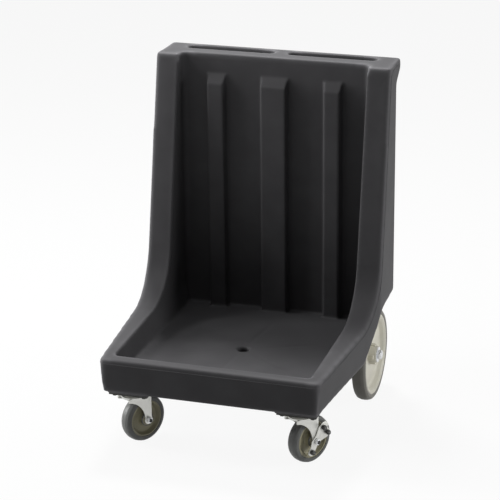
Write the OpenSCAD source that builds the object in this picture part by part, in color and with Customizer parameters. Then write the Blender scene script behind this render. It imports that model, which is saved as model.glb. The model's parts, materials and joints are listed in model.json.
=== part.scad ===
// Glass rack dolly: a one-piece moulded body with a high back, two swivel
// casters in front and two large wheels on a rear axle.
// Frame: +X right, +Y back, +Z up, millimetres, wheels on z = 0.

/* [Body] */
// Depth from the front lip to the rear edge of the hand rail
body_depth = 690; // [660:1:720]
// Height of the hand rail above the ground
body_height = 921; // [880:1:960]
// Width across the front corners at the rim
front_width = 588; // [580:1:610]
// Greatest width, across the arms
arm_width = 663; // [659:1:680]
// Width across the rear corners
rear_width = 646; // [642:1:656]
// Width of the rack bay at its floor
bay_width = 510; // [500:1:514]
// Outward slope of the bay's sides, floor to rim
bay_draft = 7; // [4:0.5:9]
// Slope of the skirt from the rim down, at the sides
skirt_draft = 8; // [4:1:10]
// Slope of the skirt from the rim down, at the front
front_draft = 5.5; // [3:0.5:8]
// Height of the front lip above the skirt's lower edge
lip_height = 94; // [84:1:104]
// Thickness of the moulded floor, top face to underside
floor_thick = 37; // [32:1:44]
// Width of the front lip
lip_width = 33; // [26:1:40]
// Radius of the upright front corners of the body
corner_r = 14; // [8:1:18]
// Radius of the upright corners of the rack bay
bay_corner_r = 16; // [8:1:20]
// Radius of the sweep from the low sides to the arms
arm_radius = 160; // [130:1:180]
// Place of the sweep's corner in front of the rail's rear edge
arm_corner = 241; // [228:1:260]
// Place of the greatest width in front of the rail's rear edge
arm_widest = 220; // [205:1:235]
// Rise of the low sides towards the arms, degrees
rim_slope = 2.2; // [1:0.1:4]
// Lean of the arms from upright, degrees
arm_lean = 10; // [8:0.5:11]
// Thickness of the back panel, rear face to rack bay
back_thick = 54; // [46:1:62]
// How far the hand rail stands behind the back panel
rail_overhang = 42; // [34:1:50]
// Height of the flare from the back panel to the hand rail
flare_height = 64; // [54:1:74]
// Run of the sloped lower rear edge
rear_cut = 50; // [42:1:58]

/* [Ribs, slots and drain] */
// Width of the centre rib at its face
centre_rib = 70; // [56:1:84]
// Width of each side rib at its face
side_rib = 45; // [36:1:54]
// Distance of the side ribs from the middle
rib_offset = 163; // [150:1:176]
// How far the ribs stand out of the back panel
rib_depth = 24; // [18:1:30]
// Distance of the ribs' tops below the hand rail
rib_drop = 54; // [45:1:63]
// Spread of each side of a rib, face to foot
rib_draft = 4; // [2:0.5:5]
// Length of each hand slot
slot_length = 246; // [220:1:250]
// Width of each hand slot, front to back
slot_width = 30; // [26:1:36]
// Width of the bridge between the hand slots
slot_bridge = 40; // [30:1:50]
// Depth of the slots below the top of the back panel
slot_sink = 14; // [12:1:16]
// Depth of the hand rail, front to back
rail_depth = 20; // [16:1:24]
// Height of the hand rail bar
rail_height = 31; // [26:1:36]
// Bore of the drain in the floor
drain_bore = 31; // [24:1:36]
// Width of the drain's countersink round its bore
drain_rim = 4.5; // [3.5:0.5:5.5]

/* [Rear wheels] */
// Tread diameter of a rear wheel
wheel_d = 254; // [246:1:258]
// Width of a rear wheel's tyre
wheel_w = 38; // [34:1:42]
// Radial thickness of a rear tyre
wheel_tyre = 17; // [14:1:28]
// Diameter of the rear axle
axle_d = 19; // [16:1:20]
// Place of the rear axle in front of the rail's rear edge
axle_place = 163; // [150:1:170]
// Height of the skirt's lower edge above the rear axle
axle_drop = 35; // [30:1:41]
// Gap between a rear tyre and the inner wall of its well
wheel_gap = 2; // [1.5:0.5:4]
// Clear height of the wells above the rear wheels
well_gap = 16.5; // [14:0.5:19]
// Clear length of the wells in front of the rear wheels
well_run = 36; // [30:1:42]
// Radius of a rear hub
hub_r = 22; // [19:1:25]
// Reach of the lugs round a rear hub
lug_out = 9; // [8:0.5:11]
// Width of the lugs round a rear hub
lug_w = 19; // [16:1:22]
// Wall of the rear axle brackets
bracket_t = 5; // [4:0.5:6]
// Length of a rear bracket along the axle
bracket_len = 56; // [47:1:65]
// Spacing of a rear bracket's bolts
bracket_pitch = 84; // [72:1:96]

/* [Casters] */
// Tread diameter of a caster wheel
caster_d = 127; // [120:1:128]
// Width of a caster tyre
caster_w = 32; // [28:1:34]
// Radial thickness of a caster tyre
caster_tyre_t = 14; // [11:1:16]
// Height of a caster's mounting face above its wheel
caster_h = 25; // [24:1:33]
// Distance of the swivel axes from the front corners of the rim
caster_x = 67.5; // [62:0.5:84]
// Distance of the casters' swivel axes behind the front lip
caster_y = 68; // [64:1:90]
// Distance from the swivel axis back to the wheel axle
caster_trail = 28; // [22:1:32]
// Swivel angle of both casters in the shown pose, degrees
caster_turn = 31; // [0:1:60]
// Diameter of the king pin
king_d = 12; // [10:1:14]
// Diameter of the caster axle bolt
bolt_d = 10; // [8:1:10]
// Thickness of the pressed fork legs
leg_thick = 4; // [3:0.5:5]
// Clear width inside a fork
fork_gap = 42; // [38:1:49]
// Radius of a fork's crown
crown_r = 34; // [30:1:39]
// Radius of the eye at the foot of a fork leg
eye_r = 12; // [10.5:0.5:14]
// Width of a caster plate
plate_x = 105; // [90:1:122]
// Depth of a caster plate
plate_y = 84; // [76:1:98]
// Thickness of a caster plate
plate_t = 4; // [3.5:0.5:4.5]
// Distance of the plate bolts from the plate's edges
hole_edge = 12.3; // [10.5:0.1:14]
// Diameter of the fixing bolts
fix_d = 8; // [7:0.5:9]
// Radius of the swivel race
race_r = 28; // [24:1:32]

/* [Brake] */
// Thickness of the brake lever
lever_thick = 3; // [2.5:0.5:4]
// Width of the brake lever
lever_w = 14; // [12:1:16]
// Reach of the brake pedal from the axle
pedal_reach = 41; // [36:1:48]
// Width across the brake pedal
pedal_w = 44; // [40:1:51]
// Tilt of the pedal arm above level, degrees
pedal_tilt = 39; // [30:1:48]
// Reach of the lower pad from the axle
heel_reach = 29; // [27:1:34]
// Thickness of the brake pads
pad_thick = 11; // [9:1:13]

/* [Hidden] */
$fn = 64;
eps = 0.01;
run = 0.05;
side_play = 0.5;
race_gap = 0.3;
yf = -body_depth / 2;
far = 2 * (body_depth + body_height + arm_width);

seat_z = caster_d + caster_h;
axle_z = wheel_d / 2;
skirt_z = axle_z + axle_drop;
floor_z = skirt_z + floor_thick;
lip_z = skirt_z + lip_height;
top_z = body_height;
flare_z = top_z - flare_height;
rib_top = top_z - rib_drop;
rear_y = body_depth - rail_overhang;
wall_y = rear_y - back_thick;
arm_y = body_depth - arm_corner;
wide_y = body_depth - arm_widest;
corner_z = lip_z + arm_y * tan(rim_slope);
lean_y = arm_y + (top_z - corner_z) * tan(arm_lean);
side_turn = atan2((arm_width - front_width) / 2, wide_y);
bay_rim = bay_width + 2 * bay_draft;
lip_foot = lip_width + front_draft - 0.5;
slot_y = body_depth - rail_depth - slot_width;

axle_y = body_depth - axle_place;
wheel_r = wheel_d / 2;
well_in = bay_rim / 2 + 4;
well_z = wheel_d + well_gap;
wheel_in = well_in + wheel_gap;
wheel_face = wheel_in + wheel_w;
web_x = wheel_in + wheel_w * 0.42;
rim_r = wheel_r - wheel_tyre;
bush_r = axle_d / 2 + 4;
hub_in = wheel_in - wheel_gap / 2;
hub_out = wheel_face + 3;
washer_t = 2.5;
nut_t = 8;
boss_wall = 9;
bracket_x = well_in - bracket_len / 2 - 14;

swivel_x = front_width / 2 - caster_x;
core_r = caster_d / 2 - caster_tyre_t;
hub_len = fork_gap - 2 * side_play;
sleeve_r = bolt_d / 2 + 3;
plate_z = seat_z - plate_t;
race_h = 9.7;
crown_top = plate_z - race_h - race_gap;
crown_t = 5.5;
king_head = 2.5;
hole_x = plate_x - 2 * hole_edge;
hole_y = plate_y - 2 * hole_edge;
head_d = fix_d * 1.8;
head_h = fix_d * 0.7;
grip = 20;
pad_edge = 4;
axle_h = caster_d / 2;
leg_x = fork_gap / 2;
lever_gap = 0.6;
lever_x = leg_x + leg_thick + lever_gap;
nut_x = lever_x + lever_thick + lever_gap;
heel_tilt = 238;

PE = [0.17, 0.17, 0.175];
ZINC = [0.62, 0.63, 0.64];
CORE = [0.5, 0.51, 0.46];
DARK = [0.28, 0.3, 0.31];
BEIGE = [0.8, 0.79, 0.72];
GREY = [0.6, 0.58, 0.5];
STEEL = [0.7, 0.7, 0.72];
BLACK = [0.06, 0.06, 0.06];

// A prism along X over a side view drawn as (y behind the front, z)
module along_x(w) {
    translate([-w / 2, yf, 0])
        rotate([90, 0, 90])
            linear_extrude(height = w)
                children();
}

// The side view of the body: skirt, lip, sweep, leaning arm, rail and back
module side_view() {
    polygon([[front_draft, skirt_z], [0, lip_z - 6], [2, lip_z - 1.5], [6, lip_z],
        [arm_y, corner_z], [lean_y, top_z], [body_depth - 3, top_z], [body_depth, top_z - 3],
        [body_depth, top_z - rail_height], [rear_y, flare_z], [rear_y, skirt_z + rear_cut * 1.2],
        [rear_y - rear_cut, skirt_z]]);
    sweep();
}

// The round inside corner between the low side and the leaning arm
module sweep() {
    turn = 90 - arm_lean - rim_slope;
    run_t = arm_radius * tan(turn / 2);
    ax = arm_y - run_t * cos(rim_slope);
    az = corner_z - run_t * sin(rim_slope);
    bx = arm_y + run_t * sin(arm_lean);
    bz = corner_z + run_t * cos(arm_lean);
    cx = ax - arm_radius * sin(rim_slope);
    cz = az + arm_radius * cos(rim_slope);
    difference() {
        polygon([[ax, az], [arm_y, corner_z - 4], [arm_y + 20, corner_z], [bx, bz]]);
        translate([cx, cz])
            circle(r = arm_radius, $fn = 180);
    }
}

// The right half of the plan: a round front corner, the arm and the rear corner
function half_plan() =
    let (a = side_turn, cy = corner_r - 0.5,
        cx = front_width / 2 + tan(a) * cy - corner_r / cos(a))
    concat([for (i = [0:6]) let (t = -90 + (90 - a) * i / 6)
            [cx + corner_r * cos(t), cy + corner_r * sin(t)]],
        [[arm_width / 2, wide_y], [rear_width / 2, rear_y], [rear_width / 2, body_depth + 1]]);

module body_plan() {
    half = half_plan();
    polygon(concat(half, [for (i = [len(half) - 1:-1:0]) [-half[i][0], half[i][1]]]));
}

// The slope that draws the skirt in under the rim, cut along one low side
module skirt_cut(s) {
    slope = skirt_draft / (lip_height - 12);
    mirror([s < 0 ? 1 : 0, 0, 0])
        translate([front_width / 2, yf, lip_z - 12])
            rotate([90, 0, 180 - side_turn])
                translate([0, 0, -corner_r])
                    linear_extrude(height = wide_y / cos(side_turn) + corner_r)
                        polygon([[-3, 3 / slope], [slope * lip_z, -lip_z], [-far / 4, -lip_z],
                            [-far / 4, 3 / slope]]);
}

// A rectangle with round corners, drawn from its front edge back
module round_plan(w, d, r) {
    translate([-w / 2 + r, 0])
        square([w - 2 * r, d]);
    translate([-w / 2, r])
        square([w, d - 2 * r]);
    for (x = [-w / 2 + r, w / 2 - r], y = [r, d - r])
        translate([x, y])
            circle(r = r);
}

module body_outer() {
    difference() {
        intersection() {
            along_x(far)
                side_view();
            translate([0, yf, 0])
                linear_extrude(height = far)
                    body_plan();
        }
        skirt_cut(-1);
        skirt_cut(1);
    }
}

// The rack bay with its drafted sides and round corners
module rack_bay() {
    intersection() {
        along_x(bay_rim)
            polygon([[lip_foot, floor_z], [lip_width, lip_z], [lip_width - 2, top_z + 40],
                [wall_y, top_z + 40], [wall_y, floor_z]]);
        translate([0, far / 2, 0])
            rotate([90, 0, 0])
                linear_extrude(height = far)
                    polygon([[-bay_width / 2, floor_z - eps], [bay_width / 2, floor_z - eps],
                        [bay_rim / 2, lip_z + 6], [bay_rim / 2, top_z + 50],
                        [-bay_rim / 2, top_z + 50], [-bay_rim / 2, lip_z + 6]]);
        translate([0, yf + lip_width - 2, 0])
            linear_extrude(height = far)
                round_plan(bay_rim, wall_y - lip_width + 2, bay_corner_r);
    }
}

// One rib of the back panel with drafted sides and a sloped top
module rib(x, w) {
    intersection() {
        translate([x, yf + wall_y, floor_z - 1])
            linear_extrude(height = rib_top - floor_z + 1)
                polygon([[-w / 2, -rib_depth], [w / 2, -rib_depth], [w / 2 + rib_draft, 8],
                    [-w / 2 - rib_draft, 8]]);
        along_x(bay_width)
            polygon([[0, 0], [wall_y + 9, 0], [wall_y + 9, rib_top], [wall_y, rib_top],
                [wall_y - rib_depth - 1, rib_top - rib_depth - 2], [0, rib_top - rib_depth - 2]]);
    }
}

// A hand slot through the rail and out to the rear under it
module hand_slot(s) {
    x0 = s * (slot_bridge + slot_length) / 2;
    foot = flare_z - slot_sink;
    straight = slot_length - slot_width;
    translate([x0, yf + slot_y + slot_width / 2, foot])
        linear_extrude(height = far) {
            square([straight, slot_width], center = true);
            for (e = [-1, 1])
                translate([e * straight / 2, 0])
                    circle(d = slot_width);
        }
    translate([x0 - straight / 2, yf + slot_y + slot_width / 2, foot])
        cube([straight, far, top_z - rail_height - foot]);
}

// The wheel well: the lower rear corner cut away around the wheel
module wheel_well(s) {
    front = axle_y - wheel_r - well_run;
    bend = axle_y - wheel_r * 0.44;
    mirror([s < 0 ? 1 : 0, 0, 0])
        translate([well_in, yf, 0])
            rotate([90, 0, 90])
                linear_extrude(height = far)
                    polygon([[front, 0], [front, skirt_z], [bend, well_z - 14], [bend + 19, well_z - 4],
                        [bend + 43, well_z], [far, well_z], [far, 0]]);
}

// The pad that carries one caster plate, level with the caster's mounting face
module caster_pad(s) {
    translate([s * swivel_x - plate_x / 2 - pad_edge, yf + caster_y - plate_y / 2 - pad_edge, seat_z])
        cube([plate_x + 2 * pad_edge, plate_y + 2 * pad_edge, floor_z - seat_z - pad_edge]);
}

// The room kept free under that face
module caster_room(s) {
    translate([s * swivel_x - plate_x / 2 - pad_edge, yf + caster_y - plate_y / 2 - pad_edge, 0])
        cube([plate_x + 2 * pad_edge, plate_y + 2 * pad_edge, seat_z]);
}

module plate_holes(s, d, z0, h) {
    for (i = [-1, 1], j = [-1, 1])
        translate([s * swivel_x + i * hole_x / 2, yf + caster_y + j * hole_y / 2, z0])
            cylinder(d = d, h = h);
}

module bracket_holes(s, d, z0, h) {
    for (i = [-1, 1])
        translate([s * bracket_x, yf + axle_y + i * bracket_pitch / 2, z0])
            cylinder(d = d, h = h);
}

module body_shell() {
    color(PE)
        difference() {
            union() {
                difference() {
                    body_outer();
                    rack_bay();
                }
                rib(0, centre_rib);
                rib(-rib_offset, side_rib);
                rib(rib_offset, side_rib);
                caster_pad(-1);
                caster_pad(1);
            }
            hand_slot(-1);
            hand_slot(1);
            wheel_well(-1);
            wheel_well(1);
            translate([0, yf + wall_y / 2, 0])
                cylinder(d = drain_bore, h = floor_z + 1);
            translate([0, yf + wall_y / 2, floor_z - drain_rim])
                cylinder(d1 = drain_bore, d2 = drain_bore + 2 * drain_rim, h = drain_rim + eps);
            for (s = [-1, 1]) {
                caster_room(s);
                plate_holes(s, fix_d, 0, seat_z + grip + 4);
                bracket_holes(s, fix_d, 0, skirt_z + grip);
            }
        }
}

// A caster's own frame: swivel axis at the origin, the wheel trailing to +Y
module at_caster(s) {
    translate([s * swivel_x, yf + caster_y, 0])
        rotate([0, 0, -caster_turn])
            children();
}

module at_wheel(s) {
    at_caster(s)
        translate([0, caster_trail, axle_h])
            rotate([0, 90, 0])
                children();
}

// A top plate with the upper race of the swivel bearing under it
module caster_plate(s) {
    color(ZINC)
        difference() {
            union() {
                translate([s * swivel_x - plate_x / 2, yf + caster_y - plate_y / 2, plate_z])
                    cube([plate_x, plate_y, plate_t]);
                translate([s * swivel_x, yf + caster_y, crown_top + race_gap])
                    cylinder(r1 = race_r - 4, r2 = race_r, h = race_h);
            }
            plate_holes(s, fix_d + 0.4, 0, far);
            translate([s * swivel_x, yf + caster_y, 0])
                cylinder(d = king_d, h = far);
        }
}

module left_plate() { caster_plate(-1); }
module right_plate() { caster_plate(1); }

module plate_bolts(s) {
    color(STEEL) {
        plate_holes(s, fix_d, plate_z - eps, plate_t + grip);
        for (i = [-1, 1], j = [-1, 1])
            translate([s * swivel_x + i * hole_x / 2, yf + caster_y + j * hole_y / 2, plate_z - head_h])
                cylinder(d = head_d, h = head_h, $fn = 6);
    }
}

module left_plate_bolts() { plate_bolts(-1); }
module right_plate_bolts() { plate_bolts(1); }

module king_pin(s) {
    foot = crown_top - crown_t - race_gap;
    color(STEEL)
        translate([s * swivel_x, yf + caster_y, 0]) {
            translate([0, 0, foot - king_head])
                cylinder(d1 = king_d + 4, d2 = king_d + 8, h = king_head);
            translate([0, 0, foot - eps])
                cylinder(d = king_d, h = seat_z - foot - 0.1);
        }
}

module left_king_pin() { king_pin(-1); }
module right_king_pin() { king_pin(1); }

// The side view of a fork leg: a hollow front edge swept down to the eye
module leg_view() {
    heel = caster_trail + eye_r - 2;
    shin = caster_trail - eye_r + 2;
    hollow_r = crown_top - crown_t - leg_thick - axle_h;
    difference() {
        union() {
            translate([caster_trail, axle_h])
                circle(r = eye_r);
            difference() {
                translate([-crown_r, axle_h])
                    square([crown_r + heel, crown_top - 1 - axle_h]);
                translate([shin - hollow_r, axle_h])
                    circle(r = hollow_r, $fn = 96);
            }
        }
        translate([caster_trail, axle_h])
            circle(d = bolt_d + 4 * run);
    }
}

module caster_fork(s) {
    color(ZINC)
        at_caster(s)
            difference() {
                union() {
                    translate([0, 0, crown_top - crown_t])
                        cylinder(r = crown_r, h = crown_t);
                    for (x = [-leg_x - leg_thick, leg_x])
                        translate([x, 0, 0])
                            rotate([90, 0, 90])
                                linear_extrude(height = leg_thick)
                                    leg_view();
                }
                cylinder(d = king_d + 2 * run, h = far);
            }
}

module left_fork() { caster_fork(-1); }
module right_fork() { caster_fork(1); }

// The axle bolt: its head stands on the inner leg, its thread takes the nut
module axle_bolt(s, seat) {
    head = bolt_d * 0.6;
    color(STEEL)
        at_wheel(s) {
            translate([0, 0, -leg_x - leg_thick - head])
                cylinder(d = bolt_d * 1.7, h = head, $fn = 6);
            translate([0, 0, -leg_x - leg_thick - eps])
                cylinder(d = bolt_d, h = leg_x + leg_thick + seat + bolt_d * 0.9);
        }
}

module left_axle_bolt() { axle_bolt(-1, leg_x + leg_thick); }
module right_axle_bolt() { axle_bolt(1, nut_x); }

module axle_nut(s, seat) {
    color(STEEL)
        at_wheel(s)
            translate([0, 0, seat])
                difference() {
                    cylinder(d = bolt_d * 1.7, h = bolt_d * 0.7, $fn = 6);
                    translate([0, 0, -1])
                        cylinder(d = bolt_d, h = bolt_d);
                }
}

module left_axle_nut() { axle_nut(-1, leg_x + leg_thick); }
module right_axle_nut() { axle_nut(1, nut_x); }

module sleeve(s) {
    color(STEEL)
        at_wheel(s)
            difference() {
                translate([0, 0, -leg_x])
                    cylinder(r = sleeve_r, h = fork_gap);
                translate([0, 0, -leg_x - 1])
                    cylinder(d = bolt_d, h = fork_gap + 2);
            }
}

module left_sleeve() { sleeve(-1); }
module right_sleeve() { sleeve(1); }

// A caster wheel's core: hub, dished web and rim seat with a raised ring
module caster_core(s) {
    b = sleeve_r + run;
    h = hub_len / 2;
    w = caster_w / 2;
    half = [[b, h], [b + 8, h], [b + 10, w * 0.75], [b + 12, 5], [core_r - 11, 5], [core_r - 6, w - 3],
        [core_r - 5, w - 0.5], [core_r - 2, w - 0.5], [core_r, w - 1.5]];
    color(CORE)
        at_wheel(s)
            rotate_extrude($fn = 96)
                polygon(concat(half, [for (i = [len(half) - 1:-1:0]) [half[i][0], -half[i][1]]]));
}

module left_core() { caster_core(-1); }
module right_core() { caster_core(1); }

module caster_tyre(s) {
    r = caster_d / 2;
    w = caster_w / 2;
    color(DARK)
        at_wheel(s)
            rotate_extrude($fn = 96)
                polygon([[core_r, -w], [r - 6, -w], [r - 2.5, -w + 2.5], [r - 0.6, -w + 6],
                    [r, -w + 10], [r, w - 10], [r - 0.6, w - 6], [r - 2.5, w - 2.5],
                    [r - 6, w], [core_r, w]]);
}

module left_tyre() { caster_tyre(-1); }
module right_tyre() { caster_tyre(1); }

// The brake rocks on the right caster's axle bolt, outside the fork leg
module at_lever() {
    at_caster(1)
        translate([lever_x, caster_trail, axle_h])
            rotate([90, 0, 90])
                children();
}

// A stamped lever: an eye, an arm up to the pedal with a tongue, and a heel
module brake_lever() {
    color(ZINC)
        at_lever()
            difference() {
                linear_extrude(height = lever_thick) {
                    circle(r = bolt_d / 2 + 7);
                    rotate(pedal_tilt) {
                        translate([0, -lever_w / 2])
                            square([pedal_reach + 6, lever_w]);
                        translate([pedal_reach - lever_w / 2, -pedal_w / 2])
                            square([lever_w, pedal_w]);
                        translate([pedal_reach + 6, 8])
                            circle(r = lever_w / 2 + 1);
                    }
                    rotate(heel_tilt) {
                        translate([0, -lever_w / 2])
                            square([heel_reach + 5, lever_w]);
                        translate([heel_reach + 5, 0])
                            circle(d = lever_w);
                    }
                }
                translate([0, 0, -1])
                    cylinder(d = bolt_d + 2 * run, h = far);
            }
}

// The pair of rubber pads on the pedal, seated on the lever's face
module brake_pad_top() {
    color(BLACK)
        at_lever()
            rotate([0, 0, pedal_tilt])
                for (e = [-1, 1])
                    translate([pedal_reach - lever_w / 2, e * pedal_w * 0.3 - pedal_w * 0.2, lever_thick])
                        cube([lever_w, pedal_w * 0.4, pad_thick]);
}

module brake_pad_low() {
    color(BLACK)
        at_lever()
            rotate([0, 0, heel_tilt])
                translate([heel_reach - 6, -lever_w * 0.64, lever_thick])
                    cube([lever_w, lever_w * 1.28, pad_thick]);
}

// Rear axle, brackets and wheels
module rear_axle() {
    e = hub_out + side_play + washer_t + nut_t + 2;
    color(STEEL)
        translate([-e, yf + axle_y, axle_z])
            rotate([0, 90, 0])
                cylinder(d = axle_d, h = 2 * e);
}

// A pressed bracket: a foot bolted under the floor and two eyes for the axle
module bracket(s) {
    eye = axle_d / 2 + boss_wall;
    foot = bracket_pitch / 2 + fix_d * 1.6;
    color(ZINC)
        translate([s * bracket_x, yf + axle_y, 0])
            difference() {
                union() {
                    translate([-bracket_len / 2, -foot, skirt_z - bracket_t])
                        cube([bracket_len, 2 * foot, bracket_t]);
                    for (x = [-bracket_len / 2, bracket_len / 2 - bracket_t])
                        translate([x, 0, 0])
                            rotate([90, 0, 90])
                                linear_extrude(height = bracket_t) {
                                    translate([0, axle_z])
                                        circle(r = eye);
                                    polygon([[-eye - 11, skirt_z - eps], [eye + 11, skirt_z - eps],
                                        [eye, axle_z], [-eye, axle_z]]);
                                }
                }
                translate([-far / 2, 0, axle_z])
                    rotate([0, 90, 0])
                        cylinder(d = axle_d, h = far);
                for (i = [-1, 1])
                    translate([0, i * bracket_pitch / 2, 0])
                        cylinder(d = fix_d + 0.4, h = far);
            }
}

module left_bracket() { bracket(-1); }
module right_bracket() { bracket(1); }

module bracket_bolts() {
    color(STEEL)
        for (s = [-1, 1]) {
            bracket_holes(s, fix_d, skirt_z - bracket_t - eps, bracket_t + grip - 2);
            for (i = [-1, 1])
                translate([s * bracket_x, yf + axle_y + i * bracket_pitch / 2,
                    skirt_z - bracket_t - head_h])
                    cylinder(d = head_d, h = head_h, $fn = 6);
        }
}

module at_rear(s) {
    mirror([s < 0 ? 1 : 0, 0, 0])
        translate([0, yf + axle_y, axle_z])
            rotate([0, 90, 0])
                children();
}

// A rear rim: hub with four lugs, dished web and a raised ring at the tyre
module rear_rim(s) {
    a = wheel_in;
    b = wheel_face;
    color(BEIGE)
        at_rear(s) {
            rotate_extrude($fn = 128)
                polygon([[bush_r, hub_in], [hub_r, hub_in], [hub_r + 3, web_x - 4], [rim_r - 20, web_x - 4],
                    [rim_r - 12, a + 3], [rim_r, a + 3], [rim_r, b - 2.5], [rim_r - 2, b - 0.5],
                    [rim_r - 7, b - 0.5], [rim_r - 9, b - 4], [rim_r - 13, b - 5], [rim_r - 18, web_x + 4],
                    [hub_r + 3, web_x + 4], [hub_r, hub_out], [bush_r, hub_out]]);
            for (q = [0:3])
                rotate([0, 0, 90 * q])
                    translate([hub_r - 3, -lug_w / 2, web_x + 3])
                        cube([lug_out + 3, lug_w, hub_out - web_x - 8]);
        }
}

module left_rim() { rear_rim(-1); }
module right_rim() { rear_rim(1); }

// A bearing bush pressed in the hub, running on the axle
module rear_bush(s) {
    color(STEEL)
        at_rear(s)
            translate([0, 0, hub_in])
                difference() {
                    cylinder(r = bush_r, h = hub_out - hub_in);
                    translate([0, 0, -1])
                        cylinder(r = axle_d / 2 + run, h = far);
                }
}

module left_bush() { rear_bush(-1); }
module right_bush() { rear_bush(1); }

// A cushion tyre with a crowned tread
module rear_tyre(s) {
    r = wheel_r;
    a = wheel_in;
    b = wheel_face;
    color(GREY)
        at_rear(s)
            rotate_extrude($fn = 128)
                polygon([[rim_r, a + 2], [r - 8, a], [r - 3, a + 4], [r - 0.7, a + 9], [r, a + 14],
                    [r, b - 14], [r - 0.7, b - 9], [r - 3, b - 4], [r - 8, b], [rim_r, b - 2]]);
}

module left_rear_tyre() { rear_tyre(-1); }
module right_rear_tyre() { rear_tyre(1); }

module washer(s) {
    color(STEEL)
        at_rear(s)
            translate([0, 0, hub_out + side_play])
                difference() {
                    cylinder(r = axle_d / 2 + 12, h = washer_t);
                    translate([0, 0, -1])
                        cylinder(d = axle_d, h = far);
                }
}

module left_washer() { washer(-1); }
module right_washer() { washer(1); }

module cap_nut(s) {
    color(STEEL)
        at_rear(s)
            translate([0, 0, hub_out + side_play + washer_t])
                difference() {
                    cylinder(d = axle_d + 9, h = nut_t, $fn = 6);
                    translate([0, 0, -1])
                        cylinder(d = axle_d, h = far);
                }
}

module left_cap_nut() { cap_nut(-1); }
module right_cap_nut() { cap_nut(1); }

body_shell();
left_plate();
right_plate();
left_plate_bolts();
right_plate_bolts();
left_king_pin();
right_king_pin();
left_fork();
right_fork();
left_axle_bolt();
right_axle_bolt();
left_axle_nut();
right_axle_nut();
left_sleeve();
right_sleeve();
left_core();
right_core();
left_tyre();
right_tyre();
brake_lever();
brake_pad_top();
brake_pad_low();
rear_axle();
left_bracket();
right_bracket();
bracket_bolts();
left_rim();
right_rim();
left_bush();
right_bush();
left_rear_tyre();
right_rear_tyre();
left_washer();
right_washer();
left_cap_nut();
right_cap_nut();
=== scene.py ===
"""Glass rack dolly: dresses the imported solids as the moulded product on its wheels."""

import json
import math

import bpy
from mathutils import Matrix, Vector


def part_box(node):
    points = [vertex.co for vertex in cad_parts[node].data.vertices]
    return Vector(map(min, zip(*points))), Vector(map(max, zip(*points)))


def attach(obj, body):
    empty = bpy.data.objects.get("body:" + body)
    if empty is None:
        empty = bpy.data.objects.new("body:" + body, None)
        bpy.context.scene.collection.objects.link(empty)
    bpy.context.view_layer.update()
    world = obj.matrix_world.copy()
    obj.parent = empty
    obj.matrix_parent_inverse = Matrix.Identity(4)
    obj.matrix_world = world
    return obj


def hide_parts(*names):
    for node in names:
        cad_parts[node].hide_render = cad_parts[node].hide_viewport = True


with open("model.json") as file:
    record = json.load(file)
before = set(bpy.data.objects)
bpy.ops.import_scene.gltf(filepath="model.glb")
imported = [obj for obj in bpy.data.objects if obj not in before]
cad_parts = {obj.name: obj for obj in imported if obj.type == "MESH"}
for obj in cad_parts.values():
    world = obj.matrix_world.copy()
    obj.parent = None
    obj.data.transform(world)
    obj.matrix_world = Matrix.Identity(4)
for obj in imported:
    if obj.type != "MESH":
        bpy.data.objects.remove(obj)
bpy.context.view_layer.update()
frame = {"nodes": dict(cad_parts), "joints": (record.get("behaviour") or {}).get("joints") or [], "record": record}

bl_info = {
    "name": "Glass rack dolly",
    "version": (1, 0, 0),
    "blender": (4, 5, 0),
    "location": "View3D > Sidebar > Dolly",
    "description": "Models the moulded body, casters and rear wheels of a glass rack dolly",
    "category": "Object",
}

MM = 0.001
JOINTS = {j["name"]: j for j in frame["joints"]}
# Doubled points closer than this are one point, in a CAD node and in a turned piece
WELD = 0.02 * MM
TURNED_WELD = 0.01 * MM
# Faces of a CAD node that bend less than this are one face
FLAT_ANGLE = math.radians(0.5)
# Share of a side that one rounded corner may take
CORNER_SHARE = 0.48
# Points of an oval, and of the hole in the brake lever
OVAL_STEPS = 36
HOLE_STEPS = 48

# Plan of the body: half width at the lip, at the widest place and at the rail, and where the last two are
SIDE_FRONT = 0.294
SIDE_WIDE = 0.3315
SIDE_REAR = 0.323
WIDE_PLACE = 0.125
REAR_PLACE = 0.30
# Radius of the front corners
CORNER = 0.014
# Side view of the rim: slope, lean of the arms, and centre and radius of the sweep between them
RIM_SLOPE = math.radians(2.2)
ARM_LEAN = math.radians(10)
SWEEP_Y = -0.0311
SWEEP_Z = 0.4282
SWEEP_RADIUS = 0.16
# Height from which the outer edges are rounded as a rim, and height over which that sets in
RIM_LOW = 0.18
RIM_FADE = 0.06
# Share of that rounding which the lower edges of the skirt get
SKIRT_SHARE = 0.3
# Strength of one smoothing pass
SMOOTH_FACTOR = 0.5
# How far beside the bay its edges lie in shade and get no painted highlight
BAY_EDGE = 0.016
# Passes that spread the painted highlight on the edges
HIGHLIGHT_PASSES = 2
# The mould seam: distance from the edges, last place at the rail, spacing, and reach of the painted highlight
# along its front
SEAM_DROP = 0.0125
SEAM_BACK = 0.325
SEAM_STEP = 0.02
SEAM_HIGHLIGHT = 0.15
# Steps of the seam through the sweep of an arm and round a front corner
SWEEP_STEPS = 12
CORNER_STEPS = 6
# Sink marks in the tray: where they start and end round the drain, first angle, spacing and half width
SINK_START = 0.024
SINK_END = 0.21
SINK_TURN = math.radians(24)
SINK_APART = math.radians(60)
SINK_WIDE = 0.007
# How far a point may lie from the tray's level and still be on its floor
FLOOR_BAND = 0.0015

# Caster wheels: half width of the tread and of the hub, and radius of the bore
TREAD_HALF = 16 * MM
HUB_HALF = 20.5 * MM
HUB_BORE = 8.05 * MM
# Lugs round a rear hub: width, height, middle radius and edge
LUG_WIDE = 13 * MM
LUG_HIGH = 10 * MM
LUG_PLACE = 23.5 * MM
LUG_EDGE = 1.1 * MM
# How deep a lug starts in the web, and how far it ends short of the boss
LUG_SINK = 3 * MM
LUG_SHORT = 5 * MM
# Where the web of a rear rim lies across its width
WEB_SHARE = 0.42

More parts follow.
